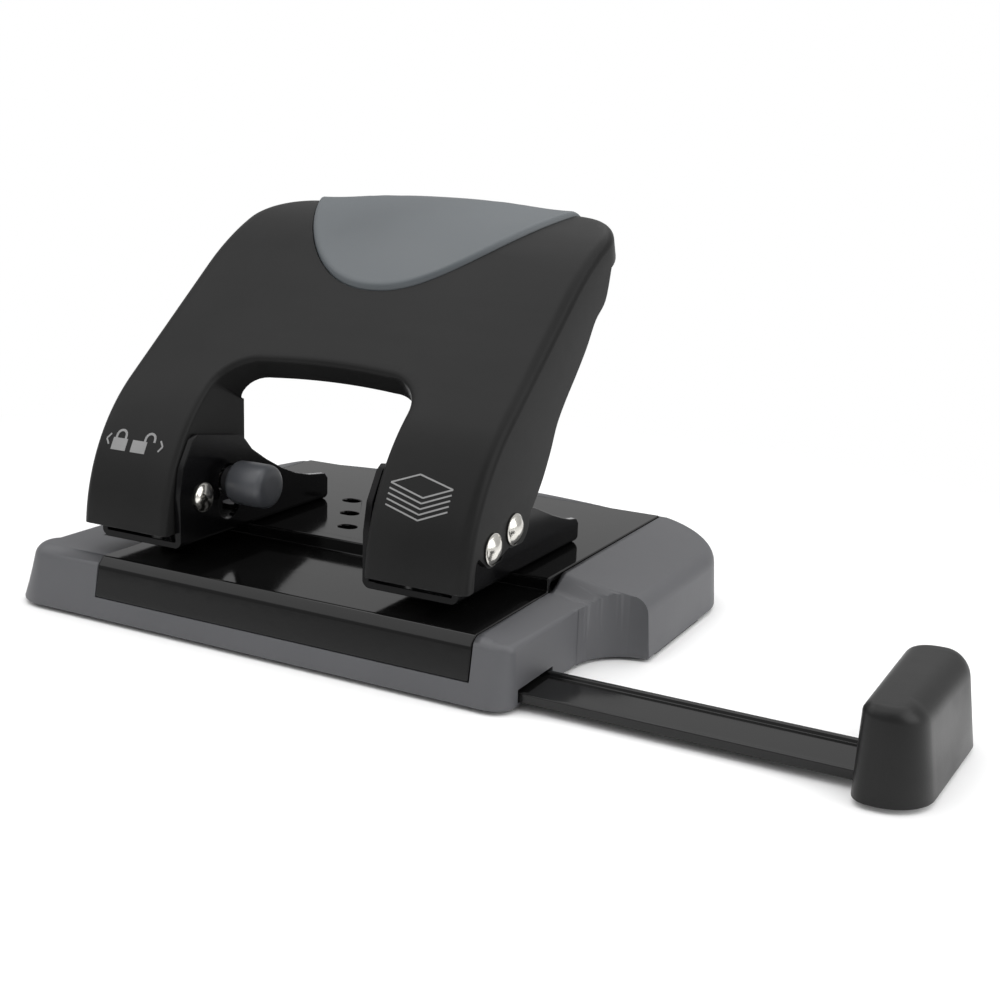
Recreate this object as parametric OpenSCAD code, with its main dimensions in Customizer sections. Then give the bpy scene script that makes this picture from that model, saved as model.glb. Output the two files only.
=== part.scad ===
// Desktop two-hole lever punch with a sliding paper guide.
// Millimetres, +Z up. X runs along the base, +Y goes away from the person who feeds the paper.
// The modules are drawn with y = 0 at the base's front edge, and placed() then moves them so that
// the origin lies on the table, midway between the punches, under the middle of the front foot.

/* [Paper] */
// Distance between the centres of the two holes
hole_pitch = 70; // [70:1:74]
// Diameter of each punched hole
hole_d = 7.1; // [6:0.1:7.2]
// Height of the slot that takes the paper
paper_gap = 2.9; // [2.6:0.1:3]
// Distance from the hole's centre to the paper stop
hole_margin = 9.5; // [9.2:0.1:10]

/* [Base] */
// Depth of the base from front to back
base_depth = 97; // [96.6:0.1:98]
// Height of the lower plate, on which the paper lies
plate_z = 13.9; // [13.8:0.1:14]
// Thickness of the steel plate
plate_t = 1.2; // [1:0.1:1.3]
// Thickness of the base's outer walls
wall = 2.2; // [2:0.1:2.4]
// Height by which the rubber feet lift the base
foot_h = 0.8; // [0.6:0.1:0.9]

/* [Handle] */
// Thickness of the handle's pressed steel
handle_t = 1.5; // [1.2:0.1:1.6]
// Width of each leg
leg_w = 21.6; // [21:0.1:22]
// Radius of the handle's two top corners
handle_corner_r = 12; // [10:1:14]

/* [Mechanism] */
// Thickness of the brackets' steel
bracket_t = 1.5; // [1.2:0.1:1.6]
// Sideways clearance between a bracket and the handle
side_gap = 0.3; // [0.25:0.05:0.35]
// Diameter of the front pins that the handle turns on
pivot_d = 5; // [4.6:0.1:5.2]
// Diameter of the rear pins that push the cutters
cross_pin_d = 4; // [3.6:0.1:4.2]
// Downward travel of the cutters
cutter_stroke = 5; // [4.8:0.1:5]

/* [Paper guide] */
// Width of the guide's bar
bar_w = 14.2; // [13:0.1:14.2]
// Distance that the guide slides
guide_travel = 62.5; // [50:0.5:62.5]

/* [Hidden] */
$fn = 64;

// Sideways layout, measured from the plane midway between the punches
leg_in = hole_pitch / 2 - leg_w / 2 + 0.2;
leg_out = leg_in + leg_w;
bracket_in = leg_in - side_gap - bracket_t;
bracket_out = leg_out - handle_t - side_gap;
plate_x = hole_pitch / 2 + 16;
base_left = -(hole_pitch / 2 + 30.7);
base_front_right = hole_pitch / 2 + 24.2;
notch_r = 11.3;
base_right = base_front_right + notch_r;

// Pins and slots, seen from the side: [distance from the front edge, height]
pivot = [15.9, 26.8];
cross_pin = [24.7, 28.8];
pin_clearance = 0.35;
slot_clearance = 0.1;
head_gap = 0.3;
head_r = 3.2;
head_h = 1.6;
hole_r = hole_d / 2;
die_clearance = 0.07;

// Base
stop_y = cross_pin[0] + hole_margin;
raised_z = plate_z + paper_gap;
front_foot_y = 10.5;
foot_ys = [46, 76];
foot_seat = 6.6;
left_cheek_y = 16;
left_cheek_x = -40;
notch_y = 31;
rear_corner_r = 18;
end_z = 13.2;
rim_z = raised_z + 0.7;
plate_rear_y = base_depth - 1.8;
side_z = raised_z - 0.2;
rim_x = [-30, 20];
bulge = 5;
bulge_half = 42;
bulge_x = -2;
lean_front = 9;
lean_left = 23;
solid_left = 8;
ledge = 3;
seat_gap = 0.05;
rim_land = 1.5;
join = 0.5;
floor_z = foot_h;
floor_t = 0.7;
channel_y = 20.1;
boss_x = hole_pitch / 2 + 9.5;
boss_ys = [29, 84];
boss_r = 3.6;
nut_h = 2.4;

// Chip tray
tray_y = 21.7;
tray_x = hole_pitch / 2 + 5;
tray_top = 10;
tray_wall = 1.2;
hinge = [91.5, 3.1];
tray_rear_y = hinge[0] + 1;
tray_box_rear_y = 88;
lug_x = 12;
lug_w = 3;

// Handle, seen from the side: two arcs joined by a straight length
arc1_c = [49.2, 16.6];
arc1_r = 44;
arc2_r = 69;
slope = 40;
top_slope = 12.9;
straight_l = 35.4;
leg_z = 20;
arc1_end = arc1_c + arc1_r * [-sin(slope), cos(slope)];
arc2_start = arc1_end + straight_l * [cos(slope), sin(slope)];
arc2_c = arc2_start + arc2_r * [sin(slope), -cos(slope)];
face_top = arc2_c + arc2_r * [-sin(top_slope), cos(top_slope)];
opening_r = 9;
opening_above_arc = 8.6;
opening_lip = 4.5;
grip_half_w = 36;
grip_drop = 36.5;
grip_t = 1.1;

// Bracket
bracket_z = raised_z;
bracket_front = 8.4;
bracket_back = 62.5;
bracket_sweep_r = 7.6;
bracket_rivet_x = (bracket_in + bracket_out) / 2;
bracket_rivet_ys = [40, 55];

// Lock on the left-hand cross pin
collar_r = 3.4;
collar_hole_r = 3.6;
knob_r = 4.6;
knob_x = -(bracket_in - 2.2);
knob_l = 10;
collar_l = 1.8;

// Paper guide
bar_z = foot_h + floor_t + 0.2;
bar_y = 5.7;
bar_t = 1.5;
bar_rail = 0.7;
block_x = base_front_right + guide_travel + 0.3;
block_w = 13.2;
block_d = 40;
block_h = 17.6;
bar_inner_x = 6;

// ---------- helpers ----------

// Moves what is drawn from the base's front edge into the part's own frame.
module placed() {
    translate([0, -front_foot_y, 0]) children();
}

// Extrudes a side view, drawn as [y, z], from x0 to x1.
module from_side(x0, x1) {
    translate([x0, 0, 0])
        rotate([90, 0, 90])
            linear_extrude(x1 - x0) children();
}

// Repeats its children on the right-hand side and, mirrored, on the left.
module both_sides() {
    children();
    mirror([1, 0, 0]) children();
}

module block(x, y, z) {
    translate([x[0], y[0], z[0]])
        cube([x[1] - x[0], y[1] - y[0], z[1] - z[0]]);
}

// A rod along X through the side-view point p.
module rod(x0, x1, p, r) {
    from_side(x0, x1) translate(p) circle(r);
}

module post(p, z0, z1, r) {
    translate([p[0], p[1], z0]) cylinder(h = z1 - z0, r = r);
}

// A plan or side outline from corner p to corner q, with one radius per corner,
// counter-clockwise from p.
module rounded(p, q, radii) {
    corners = [p, [q[0], p[1]], q, [p[0], q[1]]];
    inward = [[1, 1], [-1, 1], [-1, -1], [1, -1]];
    difference() {
        translate(p) square(q - p);
        for (i = [0:3])
            if (radii[i] > 0)
                difference() {
                    translate(corners[i] - inward[i] * 1)
                        corner_square(inward[i], radii[i] + 1);
                    translate(corners[i] + inward[i] * radii[i]) circle(radii[i]);
                }
    }
}

// A square of side s that grows from the origin towards the signs in dir.
module corner_square(dir, s) {
    translate([dir[0] > 0 ? 0 : -s, dir[1] > 0 ? 0 : -s]) square(s);
}

// A domed head whose flat side is at x, growing towards the sign of dir.
module domed_head(x, p, dir) {
    dome_r = (head_r * head_r + head_h * head_h) / (2 * head_h);
    translate([x, p[0], p[1]])
        rotate([0, dir > 0 ? 90 : -90, 0])
            intersection() {
                translate([0, 0, head_h - dome_r]) sphere(dome_r);
                cylinder(h = head_h + 1, r = head_r);
            }
}

// ---------- base ----------

// The base's plan, moved inwards by i. The right-hand end steps out behind the finger notch.
module base_plan(i) {
    rounded([base_left + i, i], [base_front_right - i, base_depth - i], [5 - i / 2, 3 - i / 2, 0, rear_corner_r - i]);
    difference() {
        rounded([base_front_right - 20, notch_y + i], [base_right - i, base_depth - i], [0, 0, rear_corner_r - i, 0]);
        translate([base_right, notch_y]) circle(notch_r + i);
    }
    // The rear edge bulges in the middle
    bulge_r = (bulge_half * bulge_half + bulge * bulge) / (2 * bulge);
    intersection() {
        translate([bulge_x, base_depth + bulge - bulge_r]) circle(bulge_r - i, $fn = 360);
        translate([bulge_x - bulge_half, base_depth - 10]) square([2 * bulge_half, 20]);
    }
}

// What lies above a line of [x, z] points, between y0 and y1.
module above(y0, y1, line) {
    top = 100;
    translate([0, y1, 0])
        rotate([90, 0, 0])
            linear_extrude(y1 - y0)
                polygon(concat(line, [[line[len(line) - 1][0], top], [line[0][0], top]]));
}

// Everything above the top of the base. Past the plate, the ends fall away.
module above_base_top() {
    far = 100;
    edge = plate_x + rim_land;
    front_fall = (plate_z + 0.4 - end_z) / (base_front_right - edge);
    side_fall = (side_z - end_z) / (base_right - edge);
    far_z = side_z - side_fall * (far - edge);
    above(-1, stop_y, [[-far, plate_z], [edge, plate_z], [far, plate_z - front_fall * (far - edge)]]);
    above(stop_y - 1, plate_rear_y, [[-far, far_z], [-edge, side_z], [edge, side_z], [far, far_z]]);
    above(plate_rear_y - 1, base_depth + 20, [
        [-far, far_z], [-edge, side_z], [rim_x[0], rim_z], [rim_x[1], rim_z], [edge, side_z], [far, far_z]
    ]);
}

// Everything to the left of the base's sloping left-hand face.
module left_of_base() {
    translate([base_left, 0, 0])
        rotate([0, lean_left, 0]) block([-20, 0], [-1, 120], [-10, 40]);
}

// Everything in front of the base's sloping front face.
module ahead_of_base() {
    rotate([-lean_front, 0, 0]) block([-100, 100], [-20, 0], [-1, 40]);
}

// The footprint of the steel plate, made smaller by i.
module plate_plan(i) {
    translate([left_cheek_x + i, -1])
        square([plate_x - left_cheek_x - 2 * i, plate_rear_y + 1 - i]);
    translate([-plate_x + i, left_cheek_y + i])
        square([plate_x, plate_rear_y - left_cheek_y - 2 * i]);
}

module tray_boss(x, y, top) {
    post([x, y], 4.2, top, boss_r);
    x0 = x > 0 ? x : base_left + solid_left - 1;
    x1 = x > 0 ? base_front_right - wall + 1 : x;
    block([x0, x1], [y - 0.8, y + 0.8], [4.2, end_z - 4]);
}

module base_body() color([0.42, 0.44, 0.47]) placed() {
    lug_top = hinge[1] + 2.6;
    difference() {
        union() {
            difference() {
                translate([0, 0, floor_z])
                    linear_extrude(rim_z) base_plan(0);
                above_base_top();
                ahead_of_base();
                left_of_base();
                // Hollow underneath, open to the plate's ledge
                difference() {
                    translate([0, 0, -1]) linear_extrude(end_z - wall + 1) base_plan(wall);
                    block([-100, 100], [-1, bar_y - 0.3], [-2, 40]);
                    block([-100, base_left + solid_left], [-1, 120], [-2, 40]);
                }
                linear_extrude(40)
                    difference() {
                        plate_plan(ledge);
                        translate([-100, -1]) square([200, 1 + bar_y]);
                    }
                // Recess that the plate and its skirt sit in
                translate([0, 0, plate_z - plate_t])
                    linear_extrude(20) plate_plan(-seat_gap);
                block([left_cheek_x - seat_gap, plate_x + seat_gap], [-1, 4.6], [5.3, 20]);
            }
            // Floor strip under the guide, and the rail behind it
            block([base_left + solid_left - join, base_front_right - wall + join], [wall, channel_y + 0.8],
                  [floor_z, floor_z + floor_t]);
            // Seat of the right-hand foot
            block([base_front_right - wall, base_right - wall + join], foot_ys, [floor_z, floor_z + 1.2]);
            both_sides() {
                block([0, 22], [channel_y, channel_y + 0.8], [floor_z, 6]);
                block([hole_pitch / 2 + 9, base_front_right - wall + join], [channel_y, channel_y + 0.8], [floor_z, 6]);
            }
            // Seat of the guide's spring
            block([50, base_front_right - wall + join], [7, channel_y + 0.4], [5.4, 7.4]);
            // Screw bosses
            for (side = [-1, 1]) {
                tray_boss(side * boss_x, boss_ys[0], plate_z - plate_t - nut_h);
                tray_boss(side * boss_x, boss_ys[1], raised_z - plate_t - nut_h);
            }
            // Hinge lugs of the chip tray
            both_sides()
                block([lug_x, lug_x + lug_w], [hinge[0] - 2.2, base_depth + bulge - wall], [floor_z + 0.3, lug_top]);
        }
        // Way for the guide's bar
        block([base_front_right - wall - 1, base_front_right + 1], [bar_y - 0.3, bar_y + bar_w + 0.3],
              [bar_z - 0.2, bar_z + bar_t + bar_rail + 0.3]);
        for (side = [-1, 1])
            for (y = boss_ys)
                post([side * boss_x, y], 0, 20, 1.7);
        rod(-20, 20, hinge, 1.3);
    }
}

// Side view of the bent steel sheet: skirt, paper table, stop step and raised rear.
module plate_profile() {
    t = plate_t;
    polygon([
        [0.9, 5.4], [2.4, 12.4], [3.9, plate_z], [stop_y, plate_z], [stop_y, raised_z],
        [plate_rear_y, raised_z], [plate_rear_y, raised_z - t], [stop_y + t, raised_z - t],
        [stop_y + t, plate_z - t], [4.4, plate_z - t], [3.6, 12.0], [2.1, 5.4]
    ]);
}

module base_plate() color([0.06, 0.06, 0.07]) placed() {
    difference() {
        intersection() {
            from_side(-plate_x, plate_x) plate_profile();
            translate([0, 0, -1]) linear_extrude(40) plate_plan(0);
        }
        for (side = [-1, 1]) {
            post([side * hole_pitch / 2, cross_pin[0]], 0, 30, hole_r + die_clearance);
            for (y = bracket_rivet_ys)
                post([side * bracket_rivet_x, y], 0, 30, 1.5);
        }
        // Three slots in the raised plate
        for (i = [0:2])
            translate([-17 + 6.2 * i, 64.5 - 10.2 * i, 0])
                linear_extrude(30) slot_plan(4.6, 3.4);
    }
}

// A slot of length l and width w along X.
module slot_plan(l, w) {
    square([l - w, w], center = true);
    for (side = [-1, 1])
        translate([side * (l - w) / 2, 0]) circle(w / 2);
}

module plate_nuts() color([0.7, 0.7, 0.68]) placed() {
    for (side = [-1, 1])
        for (i = [0:1]) {
            top = (i == 0 ? plate_z : raised_z) - plate_t;
            difference() {
                block([side * boss_x - 3, side * boss_x + 3], [boss_ys[i] - 3, boss_ys[i] + 3], [top - nut_h, top]);
                post([side * boss_x, boss_ys[i]], 0, 30, 1.45);
            }
        }
}

module plate_screws() color([0.75, 0.75, 0.76]) placed() {
    for (side = [-1, 1])
        for (i = [0:1]) {
            top = (i == 0 ? plate_z : raised_z) - plate_t;
            p = [side * boss_x, boss_ys[i]];
            difference() {
                union() {
                    post(p, 2.8, 4.2, 3);
                    post(p, 2.8, top - 0.2, 1.45);
                }
                for (a = [0, 90])
                    translate([p[0], p[1], 2.8])
                        rotate([0, 0, a]) cube([3.4, 0.7, 1.4], center = true);
            }
        }
}

module rubber_feet() color([0.1, 0.1, 0.1]) placed() {
    linear_extrude(foot_h) {
        translate([-50, front_foot_y - 3]) square([100, 6]);
        for (x = [base_left + foot_seat / 2 + 0.3, base_right - foot_seat / 2 - 0.3])
            translate([x, 0])
                rounded([-2.6, foot_ys[0] + 0.5], [2.6, foot_ys[1] - 0.5], [2, 2, 2, 2]);
    }
}

// ---------- brackets ----------

// Outer cheek: low enough for the handle's leg to swing over it.
module bracket_outer_profile() {
    difference() {
        polygon([
            [bracket_front, bracket_z], [bracket_front, 26.5], [pivot[0] - 5, 30], [pivot[0], 34.2],
            [27, 33.4], [35, 31.2], [41.8, 28.8], [48.8, 26.0], [54, 24.2], [58, 23],
            [bracket_back - 1.2, 22.5], [bracket_back, 21.2], [bracket_back, bracket_z]
        ]);
        // The leg's front face sweeps round the pivot
        difference() {
            translate([0, pivot[1] - 2]) square([pivot[0], 20]);
            translate(pivot) circle(bracket_sweep_r);
            translate([bracket_front, 0]) square([20, pivot[1]]);
        }
    }
}

// Inner cheek: beside the leg, so it can stand taller.
module bracket_inner_profile() {
    polygon([
        [bracket_front, bracket_z], [bracket_front, 28], [9.6, 34], [13, 39.6], [14.6, 40.6],
        [29, 38.2], [30.6, 37], [33, 34.4], [38.1, 31.2], [44.1, 28.0], [49.5, 25.8], [55, 24.3],
        [bracket_back - 1.2, 23.4], [bracket_back, 22.2], [bracket_back, bracket_z]
    ]);
}

// The upright slot in which a cross pin moves.
module pin_slot(r) {
    travel = [0, -cutter_stroke];
    for (i = [0, 1])
        translate(cross_pin + i * travel) circle(r);
    translate(cross_pin + travel - [r, 0]) square([2 * r, cutter_stroke]);
}

module bracket_right_solid(locking) {
    pin_slot_r = cross_pin_d / 2 + slot_clearance;
    difference() {
        union() {
            from_side(bracket_in, bracket_in + bracket_t) bracket_inner_profile();
            from_side(bracket_out - bracket_t, bracket_out) bracket_outer_profile();
            block([bracket_in, bracket_out], [bracket_front, bracket_back], [bracket_z, bracket_z + bracket_t]);
        }
        rod(bracket_in - 1, bracket_out + 1, pivot, pivot_d / 2);
        from_side(bracket_in - 1, bracket_out + 1) pin_slot(pin_slot_r);
        if (locking)
            from_side(bracket_in - 1, bracket_in + bracket_t + 1)
                for (drop = [0, cutter_stroke])
                    translate(cross_pin - [0, drop]) circle(collar_hole_r);
        post([hole_pitch / 2, cross_pin[0]], 0, 24, hole_r + slot_clearance);
        for (y = bracket_rivet_ys)
            post([bracket_rivet_x, y], 0, 24, 1.5);
    }
}

module bracket_right() color([0.05, 0.05, 0.06]) placed() bracket_right_solid(false);

module bracket_left() color([0.05, 0.05, 0.06]) placed() mirror([1, 0, 0]) bracket_right_solid(true);

module bracket_rivets() color([0.2, 0.2, 0.21]) placed() {
    for (side = [-1, 1])
        for (y = bracket_rivet_ys) {
            p = [side * bracket_rivet_x, y];
            post(p, raised_z - plate_t - 0.9, raised_z - plate_t, 2.6);
            post(p, raised_z - plate_t - 0.9, bracket_z + bracket_t + 0.9, 1.5);
            post(p, bracket_z + bracket_t, bracket_z + bracket_t + 0.9, 2.6);
        }
}

// A pin across one bracket and one leg, with a domed head at each end.
module headed_pin(p, r, inner_x) {
    outer_x = leg_out + head_gap;
    rod(inner_x, outer_x, p, r);
    domed_head(outer_x, p, 1);
}

module pivot_pin_right_solid() {
    headed_pin(pivot, pivot_d / 2, bracket_in);
    domed_head(bracket_in, pivot, -1);
}

module pivot_pin_right() color([0.8, 0.78, 0.72]) placed() pivot_pin_right_solid();

module pivot_pin_left() color([0.8, 0.78, 0.72]) placed() mirror([1, 0, 0]) pivot_pin_right_solid();

// ---------- under the base ----------

module chip_tray() color([0.3, 0.31, 0.33]) placed() {
    z0 = floor_z + 0.1;
    t = 1.2;
    lug_clear = 0.3;
    difference() {
        union() {
            difference() {
                translate([0, 0, z0]) linear_extrude(t)
                    rounded([base_left + solid_left + 0.4, tray_y],
                            [base_front_right - wall - 0.4, tray_rear_y], [1, 1, 15, 15]);
                both_sides()
                    block([lug_x - lug_clear, lug_x + lug_w + lug_clear], [hinge[0] - 2.7, base_depth], [0, 10]);
            }
            difference() {
                block([-tray_x, tray_x], [tray_y, tray_box_rear_y], [z0, tray_top]);
                block([-tray_x + tray_wall, tray_x - tray_wall],
                      [tray_y + tray_wall, tray_box_rear_y - tray_wall], [z0 + t, 20]);
            }
            rod(-lug_x + lug_clear, lug_x - lug_clear, hinge, 1.9);
            rod(-lug_x - 2.5, lug_x + 2.5, hinge, 1.2);
        }
        // Finger slot for pulling the tray open
        block([-9, 9], [tray_y + 4, tray_y + 9], [0, z0 + 0.6]);
    }
}

module guide_spring() color([0.72, 0.73, 0.74]) placed() {
    top = 5.4;
    bump_r = 1;
    y = [bar_y + 4, bar_y + 10];
    block([34, base_front_right - wall], y, [top - 0.4, top]);
    difference() {
        translate([37, y[0], bar_z + bar_t + 0.3 + bump_r])
            rotate([-90, 0, 0]) cylinder(h = y[1] - y[0], r = bump_r);
        block([30, 40], [0, 30], [top, 10]);
    }
}

// One turn of wire, cut level: an arc-shaped slice that the twist turns into round wire.
module return_spring(side) {
    wire_r = 0.4;
    coil_r = 4.7;
    turns = 3;
    z0 = bracket_z + bracket_t + wire_r + 0.05;
    height = cross_pin[1] - cross_pin_d / 2 - 0.8 - wire_r - 0.05 - z0;
    spread = 360 * turns * wire_r / height;
    steps = 6;
    translate([side * hole_pitch / 2, cross_pin[0], z0])
        linear_extrude(height, twist = -360 * turns, slices = 16 * turns, $fn = 16)
            polygon([
                for (i = [-steps:steps]) (coil_r + slice_half(i / steps, wire_r)) * dir(spread * i / steps),
                for (i = [steps:-1:-steps]) (coil_r - slice_half(i / steps, wire_r)) * dir(spread * i / steps)
            ]);
}

function dir(angle) = [cos(angle), sin(angle)];
function slice_half(u, r) = r * sqrt(max(0.004, 1 - u * u));

module return_spring_left() color([0.75, 0.75, 0.76]) placed() return_spring(-1);

module return_spring_right() color([0.75, 0.75, 0.76]) placed() return_spring(1);

// ---------- handle ----------

// Side view of what lies behind the handle's front face, moved inwards by i.
module behind_face(i) {
    deep = 62;
    difference() {
        polygon([
            arc1_c, arc1_c + (arc1_r - i) * dir(180), knee(arc1_c, arc1_r - i, 180, 90 + slope),
            knee(arc2_c, arc2_r - i, 90 + slope, 90 + top_slope),
            arc2_c + (arc2_r - i) * dir(90 + top_slope), arc2_c + (arc2_r - deep) * dir(90 + top_slope)
        ]);
        outside_arc(arc1_c, arc1_r - i, 180, 90 + slope);
        outside_arc(arc2_c, arc2_r - i, 90 + slope, 90 + top_slope);
    }
}

// Where the tangents at two directions from the centre of a circle meet.
function knee(c, r, a0, a1) = c + r / cos((a0 - a1) / 2) * dir((a0 + a1) / 2);

// The corner that an arc cuts off between two tangents.
module outside_arc(c, r, a0, a1) {
    difference() {
        polygon([
            c + r * dir(a0), c + (r + 2) * dir(a0), knee(c, r + 2, a0, a1), c + (r + 2) * dir(a1), c + r * dir(a1)
        ]);
        translate(c) circle(r, $fn = 180);
    }
}

// Side view of the region that the handle's side walls may fill.
module side_wall_mask() {
    polygon([
        [0, leg_z], [7.2, leg_z], [7.2, 24.4], [8.6, 26.2], [12, 26.2], [28, 26.9], [31.3, 29],
        [34.8, 34.5], [37.3, 37.1], [40.1, 41.8], [42, 46.7], [46.2, 51.3], [52.8, 57.7], [57.2, 63.6],
        [59.4, 66.5], [64.1, 70.4], [69.9, 75.6], [74, 79.4], [80, 83], [90, 86], [90, 100], [0, 100]
    ]);
    for (p = [pivot, cross_pin])
        translate(p) circle(4.4);
}

// A prism square to the face near its top edge, with the two rounded top corners.
module top_corner_prism(i) {
    translate([0, face_top[0], face_top[1]])
        rotate([top_slope, 0, 0])
            translate([0, 0, -70])
                linear_extrude(80)
                    rounded([-leg_out + i, -140], [leg_out - i, -i],
                            [0, 0, handle_corner_r - i, handle_corner_r - i]);
}

// A prism square to the face at the top of the hand opening, grown by i.
module opening_prism(i, depth0, depth1) {
    translate([0, arc1_end[0], arc1_end[1]])
        rotate([slope, 0, 0])
            translate([0, 0, depth0])
                linear_extrude(depth1 - depth0)
                    rounded([-leg_in - i, -90], [leg_in + i, opening_above_arc + i],
                            [0, 0, opening_r + i, opening_r + i]);
}

// The grip's outline, drawn square to the face from the middle of the handle's top edge.
module grip_outline(i) {
    w = grip_half_w - i;
    d = grip_drop - i;
    polygon([for (u = [-1:0.05:1.001]) [w * u, -d + (d + 3) * u * u]]);
}

module grip_prism(i, depth) {
    lean = 24;
    translate([0, face_top[0], face_top[1]])
        rotate([lean, 0, 0])
            translate([0, 0, -depth])
                linear_extrude(depth + 20) grip_outline(i);
}

module handle_shell() color([0.12, 0.12, 0.12]) placed() {
    difference() {
        intersection() {
            from_side(-leg_out, leg_out)
                intersection() {
                    behind_face(0);
                    side_wall_mask();
                }
            top_corner_prism(0);
        }
        // Hollow behind the face, less the turned-in lip round the hand opening
        difference() {
            intersection() {
                from_side(-leg_out + handle_t, leg_out - handle_t) behind_face(handle_t);
                top_corner_prism(handle_t);
            }
            difference() {
                opening_prism(handle_t, -90, 30);
                from_side(-leg_out, leg_out) behind_face(opening_lip);
            }
            // The lip is deeper and a little thicker at the foot of each leg, where it carries the pins
            both_sides()
                block([leg_in - 1, leg_in + handle_t + 0.2], [-1, 31], [leg_z - 1, leg_z + 14.5]);
        }
        opening_prism(0, -90, 30);
        rod(-100, 100, pivot, pivot_d / 2 + 0.05);
        rod(-100, 100, cross_pin, cross_pin_d / 2 + pin_clearance);
        // Seat of the grip
        difference() {
            grip_prism(0, 20);
            from_side(-100, 100) behind_face(grip_t);
        }
    }
}

module handle_grip() color([0.44, 0.46, 0.48]) placed() {
    gap = 0.15;
    proud = 1.1;
    intersection() {
        grip_prism(gap, 20);
        from_side(-100, 100)
            difference() {
                behind_face(-proud);
                behind_face(grip_t);
            }
        top_corner_prism(0.1);
    }
}

// ---------- cutters ----------

module cutter(side) {
    tip_z = bracket_z + 0.5;
    top_z = cross_pin[1] + 5;
    difference() {
        post([side * hole_pitch / 2, cross_pin[0]], tip_z, top_z, hole_r);
        rod(-100, 100, cross_pin, cross_pin_d / 2);
        // Hollow-ground tip, so that each edge shears a little at a time
        translate([side * hole_pitch / 2, 0, tip_z - 5.2])
            rotate([-90, 0, 0]) cylinder(h = 60, r = 6.1);
    }
}

module cutter_left() color([0.78, 0.78, 0.8]) placed() cutter(-1);

module cutter_right() color([0.78, 0.78, 0.8]) placed() cutter(1);

module cross_pin_right() color([0.8, 0.78, 0.72]) placed() {
    difference() {
        headed_pin(cross_pin, cross_pin_d / 2, bracket_in - 2);
        ring_groove(0);
    }
}

// The groove near the right-hand pin's inner end, and the ring that sits in it.
module ring_groove(clearance) {
    x = bracket_in - 1.2;
    difference() {
        rod(x - clearance, x + 0.8 + clearance, cross_pin, cross_pin_d / 2 + 1);
        rod(x - 1, x + 2, cross_pin, cross_pin_d / 2 - 0.4);
    }
}

module retaining_ring() color([0.6, 0.6, 0.6]) placed() {
    x = bracket_in - 1.2;
    difference() {
        rod(x, x + 0.8, cross_pin, cross_pin_d / 2 + 1.4);
        rod(x - 1, x + 2, cross_pin, cross_pin_d / 2 - 0.4);
        block([x - 1, x + 2], [cross_pin[0] - 1, cross_pin[0] + 1], [cross_pin[1], cross_pin[1] + 5]);
    }
}

module cross_pin_left() color([0.8, 0.78, 0.72]) placed()
    mirror([1, 0, 0]) headed_pin(cross_pin, cross_pin_d / 2, -knob_x - 5.5);

module spring_cap(side) {
    z1 = cross_pin[1] - cross_pin_d / 2;
    difference() {
        post([side * hole_pitch / 2, cross_pin[0]], z1 - 0.8, z1, 5.2);
        post([side * hole_pitch / 2, cross_pin[0]], 0, 60, hole_r + 0.05);
    }
}

module spring_cap_left() color([0.5, 0.5, 0.5]) placed() spring_cap(-1);

module spring_cap_right() color([0.5, 0.5, 0.5]) placed() spring_cap(1);

// ---------- lock ----------

module lock_knob() color([0.4, 0.42, 0.45]) placed() {
    tip = 1.4;
    difference() {
        union() {
            rod(knob_x, knob_x + knob_l - tip, cross_pin, knob_r);
            translate([knob_x + knob_l - tip, cross_pin[0], cross_pin[1]])
                rotate([0, 90, 0]) cylinder(h = tip, r1 = knob_r, r2 = knob_r - tip);
        }
        rod(knob_x - 1, knob_x + 1.2, cross_pin, collar_r - 0.4);
        rod(knob_x - 1, knob_x + 8, cross_pin, cross_pin_d / 2 + 0.08);
    }
}

module lock_collar() color([0.15, 0.15, 0.16]) placed() {
    difference() {
        union() {
            rod(knob_x - collar_l, knob_x, cross_pin, collar_r);
            rod(knob_x - collar_l, knob_x + 1.2, cross_pin, collar_r - 0.4);
        }
        rod(knob_x - 10, knob_x + 10, cross_pin, cross_pin_d / 2 + 0.08);
    }
}

// ---------- paper guide ----------

module paper_guide() color([0.06, 0.06, 0.07]) placed() {
    edge = 1.2;
    y1 = bar_y + bar_w;
    top = bar_z + bar_t;
    difference() {
        union() {
            block([bar_inner_x, block_x + 8], [bar_y, y1], [bar_z, top]);
            block([bar_inner_x, block_x], [y1 - 2.4, y1 - 1], [bar_z, top + bar_rail]);
            block([bar_inner_x, block_x], [bar_y, bar_y + edge], [bar_z, top + bar_rail / 2]);
        }
        // Notches that the guide's spring clicks into
        for (i = [0:7])
            block([33 + i * 10 - 0.6, 33 + i * 10 + 0.6], [bar_y + 3.4, bar_y + 10.6], [top - 0.4, top + 1]);
        for (y = [bar_y + 3.5, y1 - 3.5])
            post([block_x + 4, y], 0, 10, 1.3);
    }
}

module guide_end_block() color([0.13, 0.13, 0.13]) placed() {
    z0 = floor_z + 0.1;
    y0 = -1;
    difference() {
        translate([0, 0, z0])
            linear_extrude(block_h - z0)
                rounded([block_x, y0], [block_x + block_w, y0 + block_d], [1, 6, 7, 8]);
        // The outer face leans in towards the top
        translate([block_x + block_w, -5, z0])
            rotate([0, -9, 0]) cube([20, 60, 40]);
        // Socket for the bar
        block([block_x - 1, block_x + 8.2], [bar_y - 0.05, bar_y + bar_w + 0.05],
              [bar_z - 0.05, bar_z + bar_t + 0.05]);
        for (y = [bar_y + 3.5, bar_y + bar_w - 3.5]) {
            post([block_x + 4, y], -1, 8, 1.05);
            post([block_x + 4, y], -1, bar_z - 0.2, 2.3);
        }
    }
}

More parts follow.
